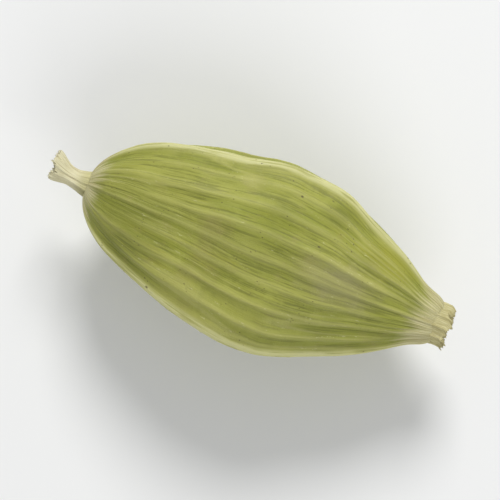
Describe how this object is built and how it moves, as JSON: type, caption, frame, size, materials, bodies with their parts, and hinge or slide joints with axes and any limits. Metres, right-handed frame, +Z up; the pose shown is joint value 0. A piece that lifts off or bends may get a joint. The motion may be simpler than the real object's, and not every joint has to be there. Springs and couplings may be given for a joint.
{
  "type": "green cardamom pod",
  "caption": "Dried green cardamom pod lying on its side, one flattish face up: a closed three-sided ribbed seed capsule with a short stalk stub and a blunt beaked tip.",
  "frame": {"origin": "middle of the small flat spot that the pod rests on", "axes": "+X along the pod from its stalk end to its tip, +Z up from the surface it lies on"},
  "size_m": [0.0182, 0.0081, 0.0074],
  "materials": {
    "husk": "matte",
    "straw": "matte"
  },
  "bodies": {
    "root": {"pod": "husk"}
  },
  "joints": []
}
